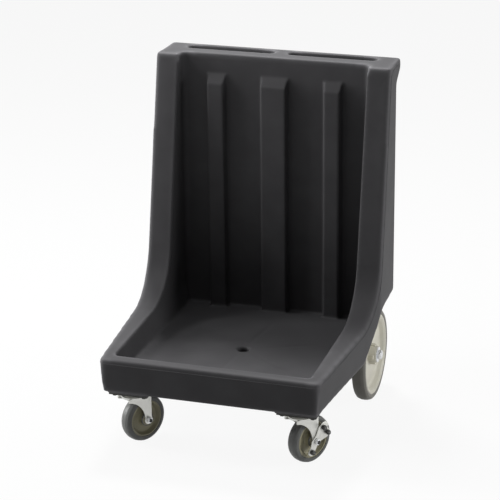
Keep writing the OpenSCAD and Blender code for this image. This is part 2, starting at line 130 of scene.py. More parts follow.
# The brake lever: tilt of its pedal and its heel, its bolt hole, and its pads' places and half sizes
PEDAL_TILT = math.radians(39)
HEEL_TILT = math.radians(238)
LEVER_HOLE = 5.1 * MM
PAD_REACH = 38.5 * MM
PAD_APART = 10.5 * MM
HEEL_REACH = 30 * MM
PAD_LONG = 6.6 * MM
PAD_WIDE = 8 * MM
PAD_EDGE = 3 * MM
# How much less deep the oval pads are than their solids
PAD_SHORT = 2 * MM
# Share of a pad that its grey, rubbed centre takes, and how far such a centre or a painted shade disc on a bolt
# end stands proud
PAD_CENTRE = 0.45
END_PROUD = 0.4 * MM
# Radius of the painted shade disc on each end of a caster's axle bolt, and depth of the part of a caster plate
# that is painted shade
SOCKET_SHADE_RADIUS = 5 * MM
PLATE_THICK = 4.2 * MM

# Noise levels between which a finish runs from its low to its high tone, and detail of its two noises
TONE_LOW = 0.3
TONE_HIGH = 0.7
FINE_DETAIL = 3.0
COARSE_DETAIL = 5.0

# The soft boxes: name, place, aim, size and power
LAMPS = (
    ("back_light", (-0.5, 1.25, 2.9), (0.0, -0.3, 0.25), (0.6, 0.6), 108.0),
    ("near_light", (-0.3, -0.12, 1.8), (0.0, 0.05, 0.5), (0.5, 0.3), 4.0),
    ("left_high_light", (-2.6, -0.55, 3.0), (0.0, -0.1, 0.4), (0.8, 0.8), 44.0),
    ("left_light", (-3.3, -0.62, 1.7), (0.0, -0.1, 0.4), (0.8, 0.8), 50.0),
    ("left_low_light", (-3.6, -0.3, 0.9), (0.0, -0.1, 0.4), (0.8, 0.8), 66.0),
    ("right_light", (3.4, 0.4, 1.3), (0.1, 0.0, 0.3), (1.0, 1.0), 58.0),
)
FLOOR_SIZE = 24.0
FLOOR_ROUGH = 0.9
# The camera's sensor in millimetres and how far it sees
SENSOR = 36.0
CLIP_END = 60.0


class BodyProps(bpy.types.PropertyGroup):
    """Sizes and colour of the moulded body."""

    voxel: bpy.props.FloatProperty(
        name="Grid", description="Spacing of the body's surface grid", default=0.0031, unit="LENGTH")
    softness: bpy.props.IntProperty(
        name="Softness", description="Smoothing passes that round the moulded edges", default=6)
    share: bpy.props.FloatProperty(
        name="Faces kept", description="Share of the grid's faces that is kept", default=0.19,
        subtype="FACTOR")
    rim_softness: bpy.props.IntProperty(
        name="Rim softness", description="Further passes for the outer edges and the lip", default=46)
    rim_band: bpy.props.FloatProperty(
        name="Rim band", description="Width of the outer band that is rounded further", default=0.016,
        unit="LENGTH")
    seam_size: bpy.props.FloatProperty(
        name="Seam size", description="Radius of the bead that the mould seam leaves", default=0.0007,
        unit="LENGTH")
    # Painted highlight: the outward edges are lightened in colour to stand for the light they catch; strength, and
    # the edge radius at which it is full
    painted_highlight: bpy.props.FloatProperty(
        name="Painted highlight", description="How far handling lightens the outward edges", default=1.0)
    painted_highlight_reach: bpy.props.FloatProperty(
        name="Burnish radius", description="Edge radius at which the lightening is full",
        default=0.018, unit="LENGTH")
    sink: bpy.props.FloatProperty(
        name="Sink marks", description="Depth of the marks that run from the drain", default=0.0009,
        unit="LENGTH")
    colour: bpy.props.FloatVectorProperty(
        name="Plastic", description="Charcoal polyethylene", default=(0.060, 0.0590, 0.0618),
        subtype="COLOR")


class WheelProps(bpy.types.PropertyGroup):
    """Colours of the wheels."""

    rim: bpy.props.FloatVectorProperty(
        name="Rear rim", description="Beige moulded rim", default=(0.66, 0.64, 0.55), subtype="COLOR")
    rear_tyre: bpy.props.FloatVectorProperty(
        name="Rear tyre", description="Grey rubber", default=(0.190, 0.184, 0.165), subtype="COLOR")
    core: bpy.props.FloatVectorProperty(
        name="Caster core", description="Olive moulded core", default=(0.32, 0.30, 0.20),
        subtype="COLOR")
    caster_tyre: bpy.props.FloatVectorProperty(
        name="Caster tyre", description="Dark rubber", default=(0.128, 0.131, 0.127), subtype="COLOR")
    steps: bpy.props.IntProperty(
        name="Steps", description="Segments around a turned piece", default=112)


class MetalProps(bpy.types.PropertyGroup):
    """Colours of the metal pieces."""

    zinc: bpy.props.FloatVectorProperty(
        name="Zinc", description="Zinc plated pressed steel", default=(0.60, 0.60, 0.57),
        subtype="COLOR")
    steel: bpy.props.FloatVectorProperty(
        name="Steel", description="Bright steel", default=(0.66, 0.67, 0.68), subtype="COLOR")
    # Painted shade: the zinc caster plates and their bolts, which lie in the body's shade, are given this dark
    # colour
    plate: bpy.props.FloatVectorProperty(
        name="Caster plates", description="Dark passivated plates and bolts under the body",
        default=(0.045, 0.045, 0.042), subtype="COLOR")
    pad: bpy.props.FloatVectorProperty(
        name="Pads", description="Black rubber of the brake pads", default=(0.012, 0.012, 0.012),
        subtype="COLOR")
    pad_centre: bpy.props.FloatVectorProperty(
        name="Pad centres", description="Worn grey middle of the brake pads",
        default=(0.13, 0.13, 0.125), subtype="COLOR")
    edge: bpy.props.FloatProperty(
        name="Edge", description="Rounding of pressed and turned metal edges", default=0.0006,
        unit="LENGTH")


class StageProps(bpy.types.PropertyGroup):
    """Camera, floor and light."""

    azimuth: bpy.props.FloatProperty(
        name="Azimuth", description="Camera turn to the right", default=math.radians(17.959),
        subtype="ANGLE")
    elevation: bpy.props.FloatProperty(
        name="Elevation", description="Camera height angle", default=math.radians(19.965),
        subtype="ANGLE")
    roll: bpy.props.FloatProperty(
        name="Roll", description="Camera roll", default=math.radians(-0.57), subtype="ANGLE")
    distance: bpy.props.FloatProperty(
        name="Distance", description="Camera to target", default=5.41728, unit="LENGTH")
    focal: bpy.props.FloatProperty(
        name="Lens", description="Focal length in millimetres", default=148.206)
    target: bpy.props.FloatVectorProperty(
        name="Target", description="Point the camera looks at", default=(0.00716, -0.005, 0.46415),
        subtype="XYZ")
    floor: bpy.props.FloatVectorProperty(
        name="Floor", description="Pale studio floor", default=(0.50, 0.50, 0.50), subtype="COLOR")
    whiteness: bpy.props.FloatProperty(
        name="Whiteness", description="How white the floor looks beside its shadow", default=0.92,
        subtype="FACTOR")
    fill: bpy.props.FloatProperty(
        name="Fill", description="Strength of the room as a light", default=0.03)


def settle(obj=None):
    """Leaves edit mode and selects only the given piece."""
    if bpy.context.mode != "OBJECT":
        bpy.ops.object.mode_set(mode="OBJECT")
    bpy.ops.object.select_all(action="DESELECT")
    if obj is not None:
        obj.select_set(True)
        bpy.context.view_layer.objects.active = obj


def copy_of(node, name, flatten=False):
    """A copy of a CAD node with its doubled points merged and, if asked, its flat faces too."""
    obj = bpy.data.objects.new(name, frame["nodes"][node].data.copy())
    bpy.context.scene.collection.objects.link(obj)
    settle(obj)
    bpy.ops.object.mode_set(mode="EDIT")
    bpy.ops.mesh.select_all(action="SELECT")
    bpy.ops.mesh.remove_doubles(threshold=WELD)
    if flatten:
        bpy.ops.mesh.dissolve_limited(angle_limit=FLAT_ANGLE)
    settle(obj)
    return obj


def apply_all(obj):
    """Applies every modifier of a piece in order."""
    settle(obj)
    for mod in list(obj.modifiers):
        bpy.ops.object.modifier_apply(modifier=mod.name)


def place(obj, matrix):
    """Puts a piece in its place and writes the place into its mesh."""
    settle(obj)
    obj.matrix_world = matrix
    bpy.ops.object.transform_apply(location=True, rotation=True, scale=True)


def join(pieces):
    """Joins pieces into the first of them."""
    settle(pieces[0])
    for piece in pieces[1:]:
        piece.select_set(True)
    bpy.context.view_layer.objects.active = pieces[0]
    if len(pieces) > 1:
        bpy.ops.object.join()
    return bpy.context.view_layer.objects.active


def smooth(obj, degrees=38.0):
    """Shades a piece smooth up to an angle."""
    settle(obj)
    bpy.ops.object.shade_smooth_by_angle(angle=math.radians(degrees))


def bevel(obj, width, segments=2, degrees=35.0):
    """Rounds the sharp edges of a piece."""
    mod = obj.modifiers.new("edge", "BEVEL")
    mod.width = width
    mod.segments = segments
    mod.limit_method = "ANGLE"
    mod.angle_limit = math.radians(degrees)
    mod.use_clamp_overlap = True
    apply_all(obj)


def hand_over(obj, name, body, material, nodes=()):
    """Names a finished piece, gives it its finish and lets it ride on its body."""
    obj.name = name
    obj.data.name = name
    obj.data.materials.clear()
    obj.data.materials.append(material)
    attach(obj, body)
    if nodes:
        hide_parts(*nodes)


def rounded(points, steps=4):
    """A closed outline whose corners (a, b, radius) are turned into short arcs."""
    out = []
    count = len(points)
    for i, (a, b, r) in enumerate(points):
        here = Vector((a, b))
        before = Vector(points[i - 1][:2]) - here
        after = Vector(points[(i + 1) % count][:2]) - here
        if r <= 0.0:
            out.append((a, b))
            continue
        half = before.angle(after) / 2.0
        reach = min(r / math.tan(half), before.length * CORNER_SHARE, after.length * CORNER_SHARE)
        start = here + before.normalized() * reach
        end = here + after.normalized() * reach
        for k in range(steps + 1):
            t = k / steps
            out.append(tuple(start * (1 - t) ** 2 + here * 2 * t * (1 - t) + end * t ** 2))
    return out


def loop(points):
    """A closed loop, started as a circle and moved to its points."""
    settle()
    bpy.ops.mesh.primitive_circle_add(vertices=len(points), radius=1.0, location=(0, 0, 0))
    obj = bpy.context.object
    for vert, spot in zip(obj.data.vertices, points):
        vert.co = spot
    return obj


def outline(points):
    """A closed loop in the XZ plane."""
    return loop([(a, 0.0, b) for a, b in points])


def turned(section, steps):
    """A ring turned about X from a closed section of (along X, radius)."""
    obj = outline(section)
    bpy.ops.object.mode_set(mode="EDIT")
    bpy.ops.mesh.select_all(action="SELECT")
    bpy.ops.mesh.spin(steps=steps, angle=math.tau, center=(0, 0, 0), axis=(1, 0, 0))
    bpy.ops.mesh.select_all(action="SELECT")
    bpy.ops.mesh.remove_doubles(threshold=TURNED_WELD)
    bpy.ops.mesh.normals_make_consistent(inside=False)
    settle(obj)
    return obj


def plate(points, thick):
    """A flat plate: an outline in the XZ plane given a thickness along +Y."""
    obj = outline(points)
    bpy.ops.object.mode_set(mode="EDIT")
    bpy.ops.mesh.select_all(action="SELECT")
    bpy.ops.mesh.edge_face_add()
    bpy.ops.mesh.extrude_region_move(TRANSFORM_OT_translate={"value": (0, thick, 0)})
    bpy.ops.mesh.select_all(action="SELECT")
    bpy.ops.mesh.normals_make_consistent(inside=False)
    settle(obj)
    return obj


def block(size, centre, width, segments=3):
    """A block with rounded edges."""
    settle()
    bpy.ops.mesh.primitive_cube_add(size=1.0, location=(0, 0, 0))
    obj = bpy.context.object
    place(obj, Matrix.Translation(centre) @ Matrix.Diagonal((*size, 1.0)))
    bevel(obj, width, segments)
    return obj


def axis_frame(joint):
    """The frame of a wheel: X along its axle, Z up, origin at its middle."""
    along = Vector(JOINTS[joint]["axis"]).normalized()
    up = Vector((0, 0, 1))
    back = up.cross(along)
    turn = Matrix((along, back, up)).transposed().to_4x4()
    return Matrix.Translation(JOINTS[joint]["pos_m"]) @ turn


def half_height(node):
    """Half the height of a CAD node, which is the radius of a piece on a level axle."""
    low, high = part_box(node)
    return (high[2] - low[2]) / 2


def opening(name):
    """The low and high corners of an opening that the record states."""
    return next(o["box_m"] for o in frame["record"]["physics"]["openings"] if o["name"] == name)


def local_box(node, matrix):
    """The low and high corners of a CAD node, measured in the given frame."""
    back = matrix.inverted()
    spots = [back @ v.co for v in frame["nodes"][node].data.vertices]
    low = Vector([min(p[i] for p in spots) for i in range(3)])
    high = Vector([max(p[i] for p in spots) for i in range(3)])
    return low, high


def half_width(y, front):
    """Half the width of the body's plan at a place, given where its front is."""
    if y < WIDE_PLACE:
        return SIDE_FRONT + (y - front) * (SIDE_WIDE - SIDE_FRONT) / (WIDE_PLACE - front)
    share = (min(y, REAR_PLACE) - WIDE_PLACE) / (REAR_PLACE - WIDE_PLACE)
    return SIDE_WIDE + share * (SIDE_REAR - SIDE_WIDE)


def swung(points, tilt):
    """Turns outline points about the origin, and keeps their corner radii."""
    c, s = math.cos(tilt), math.sin(tilt)
    return [(u * c - v * s, u * s + v * c, r) for u, v, r in points]


def oval(middle, half_long, half_wide, tilt):
    """An oval outline round a point, turned about the origin."""
    points = []
    for k in range(OVAL_STEPS):
        turn = math.tau * k / OVAL_STEPS
        u = middle[0] + half_long * math.cos(turn)
        v = middle[1] + half_wide * math.sin(turn)
        points.append((u, v, 0.0))
    return [(u, v) for u, v, r in swung(points, tilt)]


def paint_edge_highlight(mat, colour, gain):
    """Mixes a painted highlight, a lighter tone, into a finish where its piece carries the painted highlight
    attribute.
    """
    nodes = mat.node_tree.nodes
    link = mat.node_tree.links.new
    shader = nodes["Principled BSDF"]
    plain = shader.inputs["Base Color"].links[0].from_socket
    highlight_share = nodes.new("ShaderNodeAttribute")
    highlight_share.attribute_name = "painted_highlight"
    mix = nodes.new("ShaderNodeMix")
    mix.data_type = "RGBA"
    mix.inputs["B"].default_value = (*[c * (1 + gain) for c in colour], 1)
    link(highlight_share.outputs["Fac"], mix.inputs["Factor"])
    link(plain, mix.inputs["A"])
    link(mix.outputs["Result"], shader.inputs["Base Color"])


def finish_of(name, colour, metallic, rough, grain, tint, bump, gloss=0.5):
    """A procedural finish on Object coordinates.

    rough is a low and a high roughness, grain a fine and a coarse scale per metre,
    tint how far the colour drifts, bump the strength and height of the fine grain,
    gloss the specular level.
    """
    mat = bpy.data.materials.new(name)
    mat.use_nodes = True
    nodes = mat.node_tree.nodes
    link = mat.node_tree.links.new
    shader = nodes["Principled BSDF"]
    shader.inputs["Metallic"].default_value = metallic
    shader.inputs["Specular IOR Level"].default_value = gloss
    coord = nodes.new("ShaderNodeTexCoord")
    fine = nodes.new("ShaderNodeTexNoise")
    fine.inputs["Scale"].default_value = grain[0]
    fine.inputs["Detail"].default_value = FINE_DETAIL
    coarse = nodes.new("ShaderNodeTexNoise")
    coarse.inputs["Scale"].default_value = grain[1]
    coarse.inputs["Detail"].default_value = COARSE_DETAIL
    for tex in (fine, coarse):
        link(coord.outputs["Object"], tex.inputs["Vector"])
    ramp = nodes.new("ShaderNodeValToRGB")
    ramp.color_ramp.elements[0].position = TONE_LOW
    ramp.color_ramp.elements[1].position = TONE_HIGH
    ramp.color_ramp.elements[0].color = (*[c * (1 - tint) for c in colour], 1)
    ramp.color_ramp.elements[1].color = (*[min(1.0, c * (1 + tint)) for c in colour], 1)
    link(coarse.outputs["Fac"], ramp.inputs["Fac"])
    link(ramp.outputs["Color"], shader.inputs["Base Color"])
    spread = nodes.new("ShaderNodeMapRange")
    spread.inputs["From Min"].default_value = TONE_LOW
    spread.inputs["From Max"].default_value = TONE_HIGH
    spread.inputs["To Min"].default_value = rough[0]
    spread.inputs["To Max"].default_value = rough[1]
    link(coarse.outputs["Fac"], spread.inputs["Value"])
    link(spread.outputs["Result"], shader.inputs["Roughness"])
    lift = nodes.new("ShaderNodeBump")
    lift.inputs["Strength"].default_value = bump[0]
    lift.inputs["Distance"].default_value = bump[1]
    link(fine.outputs["Fac"], lift.inputs["Height"])
    link(lift.outputs["Normal"], shader.inputs["Normal"])
    return mat


# The finishes by name, filled by make_finishes
FINISH = {}


def make_finishes(scene):
    """Fills the table of finishes from the properties."""
    body = scene.dolly_body
    wheel = scene.dolly_wheel
    metal = scene.dolly_metal
    FINISH["plastic"] = finish_of(
        "moulded_plastic", body.colour, 0.0, (0.46, 0.56), (900, 14), 0.08, (0.14, 0.0005), 0.05)
    # The plastic gets a painted highlight on its outward edges
    paint_edge_highlight(FINISH["plastic"], body.colour, body.painted_highlight)
    FINISH["rim"] = finish_of(
        "rim_plastic", wheel.rim, 0.0, (0.42, 0.52), (1200, 30), 0.05, (0.10, 0.0003))
    FINISH["core"] = finish_of(
        "core_plastic", wheel.core, 0.0, (0.40, 0.52), (1200, 40), 0.08, (0.10, 0.0003))
    FINISH["rear_tyre"] = finish_of(
        "rear_rubber", wheel.rear_tyre, 0.0, (0.62, 0.78), (1500, 35), 0.10, (0.22, 0.0004))
    FINISH["caster_tyre"] = finish_of(
        "caster_rubber", wheel.caster_tyre, 0.0, (0.40, 0.52), (1500, 45), 0.12, (0.20, 0.0004), 0.35)
    FINISH["zinc"] = finish_of(
        "zinc_plate", metal.zinc, 0.85, (0.34, 0.50), (260, 60), 0.07, (0.06, 0.0003))
    FINISH["steel"] = finish_of(
        "bright_steel", metal.steel, 1.0, (0.22, 0.36), (900, 120), 0.05, (0.05, 0.0002))
    # Painted shade: a dark finish for the zinc caster plates and their bolts in the body's shade, and for the
    # discs on the caster bolts' ends
    FINISH["dark_plate"] = finish_of(
        "dark_plate", metal.plate, 0.35, (0.42, 0.56), (700, 80), 0.12, (0.06, 0.0003), 0.2)
    FINISH["pad_centre"] = finish_of(
        "worn_rubber", metal.pad_centre, 0.0, (0.5, 0.65), (1400, 60), 0.15, (0.2, 0.0004))
    FINISH["pad"] = finish_of(
        "pad_rubber", metal.pad, 0.0, (0.45, 0.6), (1400, 60), 0.15, (0.25, 0.0004))


def dress(node, finish):
    """Gives a CAD node that stays as it is its finish."""
    obj = frame["nodes"][node]
    obj.data.materials.clear()
    obj.data.materials.append(FINISH[finish])


class DOLLY_OT_finishes(bpy.types.Operator):
    """Make the finishes from the colours in the panel"""

    bl_idname = "dolly.finishes"
    bl_label = "Finishes"

    def execute(self, context):
        make_finishes(context.scene)
        return {"FINISHED"}


class DOLLY_OT_body(bpy.types.Operator):
    """Make the moulded body with its soft edges, its painted edge highlight, its mould seam and the marks in its
    tray
    """

    bl_idname = "dolly.body"
    bl_label = "Moulded body"

    def execute(self, context):
        props = context.scene.dolly_body
        obj = copy_of("body_shell", "moulded_body")
        skin = obj.modifiers.new("skin", "REMESH")
        skin.mode = "VOXEL"
        skin.voxel_size = props.voxel
        soft = obj.modifiers.new("soft", "SMOOTH")
        soft.factor = SMOOTH_FACTOR
        soft.iterations = props.softness
        apply_all(obj)
        self.round_rim(obj, props)
        self.sink_marks(obj, props.sink)
        thin = obj.modifiers.new("thin", "DECIMATE")
        thin.ratio = props.share
        apply_all(obj)
        bpy.ops.object.shade_smooth()
        # Painted highlight on the outward edges, written as a point attribute
        self.painted_highlight(obj, props)
        seam = self.seam(obj, props)
        hand_over(obj, "moulded_body", "chassis", FINISH["plastic"], ["body_shell"])
        hand_over(seam, "mould_seam", "chassis", FINISH["plastic"])
        return {"FINISHED"}

    def round_rim(self, obj, props):
        """Rounds the outer edges of the lip, the arms and the rail further than the ribs."""
        low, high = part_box("body_shell")
        band = props.rim_band
        group = obj.vertex_groups.new(name="rim")
        for vert in obj.data.vertices:
            x, y, z = vert.co
            side = half_width(min(y, WIDE_PLACE), low[1])
            outside = abs(x) > side - band or y < low[1] + band or z > high[2] - band
            if outside:
                share = min(1.0, max(SKIRT_SHARE, (z - RIM_LOW) / RIM_FADE))
                group.add([vert.index], share, "REPLACE")
        soft = obj.modifiers.new("rim", "SMOOTH")
        soft.factor = SMOOTH_FACTOR
        soft.iterations = props.rim_softness
        soft.vertex_group = "rim"
        apply_all(obj)

    def seam_path(self):
        """Points of the mould seam: rail, arm, sweep and low side, round the front, and back."""
        low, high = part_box("body_shell")
        front = low[1]
        top = high[2] - SEAM_DROP
        radius = SWEEP_RADIUS + SEAM_DROP
        upper = math.pi / 2 - ARM_LEAN
        sweep = []
        for k in range(SWEEP_STEPS + 1):
            turn = upper - k / SWEEP_STEPS * (upper - RIM_SLOPE)
            sweep.append((SWEEP_Y + radius * math.sin(turn), SWEEP_Z - radius * math.cos(turn)))
        foot_y, foot_z = sweep[0]
        end_y, end_z = sweep[-1]
        arm = []
        for k in range(int((top - foot_z) / SEAM_STEP), 0, -1):
            arm.append((foot_y + k * SEAM_STEP * math.tan(ARM_LEAN), foot_z + k * SEAM_STEP))
        rail = []
        for k in range(int((SEAM_BACK - arm[0][0]) / SEAM_STEP), 0, -1):
            rail.append((arm[0][0] + k * SEAM_STEP, top))
        rim = []
        for k in range(1, int((end_y - front - CORNER) / SEAM_STEP)):
            rim.append((end_y - k * SEAM_STEP, end_z - k * SEAM_STEP * math.tan(RIM_SLOPE)))
        right = [Vector((half_width(y, front), y, z)) for y, z in (*rail, *arm, *sweep, *rim)]
        level = end_z - (end_y - front) * math.tan(RIM_SLOPE)
        for k in range(CORNER_STEPS + 1):
            turn = math.radians(90 / CORNER_STEPS * k)
            right.append(Vector((SIDE_FRONT - CORNER * (1 - math.cos(turn)),
                                 front + CORNER * (1 - math.sin(turn)), level)))
        for k in range(int((SIDE_FRONT - CORNER) / SEAM_STEP), -1, -1):
            right.append(Vector((k * SEAM_STEP, front, level)))
        return right + [Vector((-p.x, p.y, p.z)) for p in reversed(right[:-1])]

    def seam(self, body, props):
        """A fine bead along the parting line of the mould, laid on the body, with a painted highlight along its
        front that fades towards the back.
        """
        points = self.seam_path()
        obj = loop(points)
        ends = (0, len(points) - 1)
        for edge in obj.data.edges:
            edge.select = set(edge.vertices) == set(ends)
        for vert in obj.data.vertices:
            vert.select = vert.index in ends
        bpy.ops.object.mode_set(mode="EDIT")
        bpy.ops.mesh.select_mode(type="EDGE")
        bpy.ops.mesh.delete(type="EDGE_FACE")
        settle(obj)
        wrap = obj.modifiers.new("lay", "SHRINKWRAP")
        wrap.target = body
        wrap.wrap_method = "NEAREST_SURFACEPOINT"
        apply_all(obj)
        bpy.ops.object.convert(target="CURVE")
        obj = bpy.context.object
        obj.data.bevel_depth = props.seam_size
        obj.data.bevel_resolution = 1
        obj.data.use_fill_caps = True
        bpy.ops.object.convert(target="MESH")
        obj = bpy.context.object
        smooth(obj, degrees=60.0)
        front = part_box("body_shell")[0][1]
        # Painted highlight on the seam, full at the front and fading out towards the back
        highlight_share = [max(0.0, 1.0 - (v.co.y - front) / SEAM_HIGHLIGHT) for v in obj.data.vertices]
        layer = obj.data.attributes.new("painted_highlight", "FLOAT", "POINT")
        layer.data.foreach_set("value", highlight_share)
        return obj

    def painted_highlight(self, obj, props):
        """Writes a painted highlight for each point outside the bay, by how sharply its edge bends outward; the
        bay lies in shade and gets none.
        """
        mesh = obj.data
        bend = [0.0] * len(mesh.vertices)
        links = [0] * len(mesh.vertices)
        normals = [v.vector.copy() for v in mesh.vertex_normals]
        pairs = [tuple(e.vertices) for e in mesh.edges]
        for a, b in pairs:
            along = mesh.vertices[b].co - mesh.vertices[a].co
            curve = (normals[b] - normals[a]).dot(along) / max(along.length_squared, 1e-9)
            for k in (a, b):
                bend[k] += curve
                links[k] += 1
        low, high = opening("rack_bay")
        level = []
        for vert, curve, count in zip(mesh.vertices, bend, links):
            x, y, z = vert.co
            # The bay and its near edges lie in shade and get no painted highlight
            inside = abs(x) < high[0] + BAY_EDGE and y > low[1] and z < high[2]
            highlight_share = 0.0 if inside else curve / max(count, 1) * props.painted_highlight_reach
            level.append(min(1.0, max(0.0, highlight_share)))
        for again in range(HIGHLIGHT_PASSES):
            total = list(level)
            for a, b in pairs:
                total[a] += level[b]
                total[b] += level[a]
            level = [t / (n + 1) for t, n in zip(total, links)]
        layer = mesh.attributes.new("painted_highlight", "FLOAT", "POINT")
        layer.data.foreach_set("value", level)

    def sink_marks(self, obj, depth):
        """Shallow marks that run from the drain over the floor of the tray."""
        mount = next(m for m in frame["record"]["mounts"] if m["name"] == "rack_floor")
        level = mount["pos_m"][2]
        low, high = opening("drain")
        mid = Vector(((low[0] + high[0]) / 2, (low[1] + high[1]) / 2))
        for vert in obj.data.vertices:
            off = Vector((vert.co.x, vert.co.y)) - mid
            reach = off.length
            if abs(vert.co.z - level) > FLOOR_BAND or not SINK_START <= reach <= SINK_END:
                continue
            turn = math.atan2(off.y, off.x) - SINK_TURN
            side = reach * math.sin(turn - SINK_APART * round(turn / SINK_APART))
            fade = math.sin(math.pi * (reach - SINK_START) / (SINK_END - SINK_START))
            vert.co.z -= depth * fade * math.exp(-(side / SINK_WIDE) ** 2)


class DOLLY_OT_rear_wheels(bpy.types.Operator):
    """Make the rear rims with their cross lugs, and the rear tyres"""

    bl_idname = "dolly.rear_wheels"
    bl_label = "Rear wheels"

    def execute(self, context):
        steps = context.scene.dolly_wheel.steps
        for side, turn in (("left", math.pi), ("right", 0.0)):
            body = side + "_rear_wheel"
            low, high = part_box(side + "_rear_tyre")
            half = (high[0] - low[0]) / 2
            seat = half_height(side + "_rim")
            mid = Vector([(a + b) / 2 for a, b in zip(low, high)])
            axle = Matrix.Translation(mid) @ Matrix.Rotation(turn, 4, "Z")
            tyre = self.tyre(half_height(side + "_rear_tyre"), seat, half, steps)
            place(tyre, axle)
            smooth(tyre)
            hand_over(tyre, body + "_tyre", body, FINISH["rear_tyre"],
                      [side + "_rear_tyre"])
            rim = self.rim(side, seat, half, mid, steps)
            place(rim, axle)
            smooth(rim)
            hand_over(rim, body + "_rim", body, FINISH["rim"], [side + "_rim"])
            dress(side + "_bush", "steel")
        return {"FINISHED"}

    def tyre(self, r, seat, w, steps):
        """A smooth tyre with a crowned tread and a shallow ring on each side."""
        section = rounded([
            (-w + 2 * MM, seat, 0.0), (-w + 0.3 * MM, seat + 4 * MM, 2 * MM),
            (-w, r - 8 * MM, 3 * MM), (-w + 4 * MM, r - 3 * MM, 4 * MM),
            (-w + 12 * MM, r - 0.4 * MM, 5 * MM), (0.0, r, 12 * MM),
            (w - 12 * MM, r - 0.4 * MM, 5 * MM), (w - 4 * MM, r - 3 * MM, 4 * MM),
            (w, r - 8 * MM, 3 * MM), (w - 0.3 * MM, seat + 4 * MM, 2 * MM),
            (w - 2 * MM, seat, 0.0)])
        return turned(section, steps)

    def rim(self, side, seat, w, mid, steps):
        """A dished rim: bead ring, recessed web, boss and four lugs round the boss."""
        low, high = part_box(side + "_rim")
        if side == "right":
            inner, outer = low[0] - mid[0], high[0] - mid[0]
        else:
            inner, outer = mid[0] - high[0], mid[0] - low[0]
        bore = half_height(side + "_bush")
        web = -w + WEB_SHARE * 2 * w
        section = rounded([
            (inner, bore, 0.0), (inner, 21.5 * MM, 1.5 * MM), (web - 4 * MM, 25 * MM, 4 * MM),
            (web - 4 * MM, seat - 20 * MM, 5 * MM), (-w + 3.5 * MM, seat - 12 * MM, 4 * MM),
            (-w + 3 * MM, seat - 4 * MM, 2 * MM), (-w + 3 * MM, seat, 0.0),
            (w - 2.5 * MM, seat, 0.0), (w - 0.6 * MM, seat - 2 * MM, 1.4 * MM),
            (w - 0.6 * MM, seat - 5.5 * MM, 1.6 * MM), (w - 3 * MM, seat - 7.5 * MM, 1.4 * MM),
            (w - 5 * MM, seat - 10 * MM, 3 * MM), (web + 6 * MM, seat - 16 * MM, 6 * MM),
            (web + 4 * MM, seat - 24 * MM, 6 * MM), (web + 4 * MM, 27 * MM, 4 * MM),
            (outer - 1 * MM, 23.5 * MM, 1 * MM), (outer, 22 * MM, 1 * MM),
            (outer, bore, 0.0)], steps=5)
        parts = [turned(section, steps)]
        length = outer - LUG_SHORT - web - LUG_SINK
        middle = (web + LUG_SINK + length / 2, 0, LUG_PLACE)
        for quarter in range(4):
            lug = block((length, LUG_WIDE, LUG_HIGH), middle, LUG_EDGE)
            place(lug, Matrix.Rotation(math.radians(90 * quarter), 4, "X"))
            parts.append(lug)
        return join(parts)


class DOLLY_OT_caster_wheels(bpy.types.Operator):
    """Make the caster cores with their raised ring, their thread guards and the caster tyres"""

    bl_idname = "dolly.caster_wheels"
    bl_label = "Caster wheels"

    def execute(self, context):
        steps = context.scene.dolly_wheel.steps
        for side in ("left", "right"):
            body = side + "_caster_wheel"
            axle = axis_frame(side + "_caster_roll")
            seat = half_height(side + "_core")
            tyre = self.tyre(half_height(side + "_tyre"), seat, steps)
            place(tyre, axle)
            smooth(tyre)
            hand_over(tyre, body + "_tyre", body, FINISH["caster_tyre"],
                      [side + "_tyre"])
            core = self.core(seat, steps)
            place(core, axle)
            smooth(core)
            hand_over(core, body + "_core", body, FINISH["core"], [side + "_core"])
            guards = join([self.guard(sign, steps) for sign in (-1, 1)])
            place(guards, axle)
            smooth(guards)
            hand_over(guards, side + "_thread_guards", body, FINISH["caster_tyre"])
        return {"FINISHED"}

    def tyre(self, r, seat, steps):
        """A tyre with a crowned tread."""
        w = TREAD_HALF
        section = rounded([
            (-w, seat, 0.0), (-w, r - 7 * MM, 3 * MM), (-w + 3 * MM, r - 2.4 * MM, 4 * MM),
            (-5 * MM, r, 5 * MM), (5 * MM, r, 5 * MM), (w - 3 * MM, r - 2.4 * MM, 4 * MM),
            (w, r - 7 * MM, 3 * MM), (w, seat, 0.0)], steps=5)
        return turned(section, steps)

    def core(self, seat, steps):
        """A core with a raised ring on each side and a hub that stands proud of it."""
        w = TREAD_HALF
        half = [
            (HUB_HALF, HUB_BORE, 0.0), (HUB_HALF, 16 * MM, 1.2 * MM), (w - 4 * MM, 18 * MM, 2 * MM),
            (5 * MM, 20 * MM, 4 * MM), (5 * MM, seat - 11 * MM, 4 * MM),
            (w - 3 * MM, seat - 6 * MM, 1.6 * MM), (w - 0.4 * MM, seat - 4.6 * MM, 1.2 * MM),
            (w - 0.4 * MM, seat - 2 * MM, 1.2 * MM), (w - 1.4 * MM, seat, 0.0)]
        other = [(-a, b, r) for a, b, r in reversed(half)]
        return turned(rounded(half + other), steps)

    def guard(self, sign, steps):
        """A dark ring round one end of the hub, which keeps thread off the axle."""
        inner = HUB_HALF - 4 * MM
        outer = HUB_HALF - 0.3 * MM
        section = [(inner, 15 * MM, 0.0), (inner, 19.2 * MM, 1 * MM),
                   (outer, 18.4 * MM, 1.2 * MM), (outer, 15 * MM, 0.0)]
        return turned(rounded([(sign * a, b, r) for a, b, r in section]), steps)


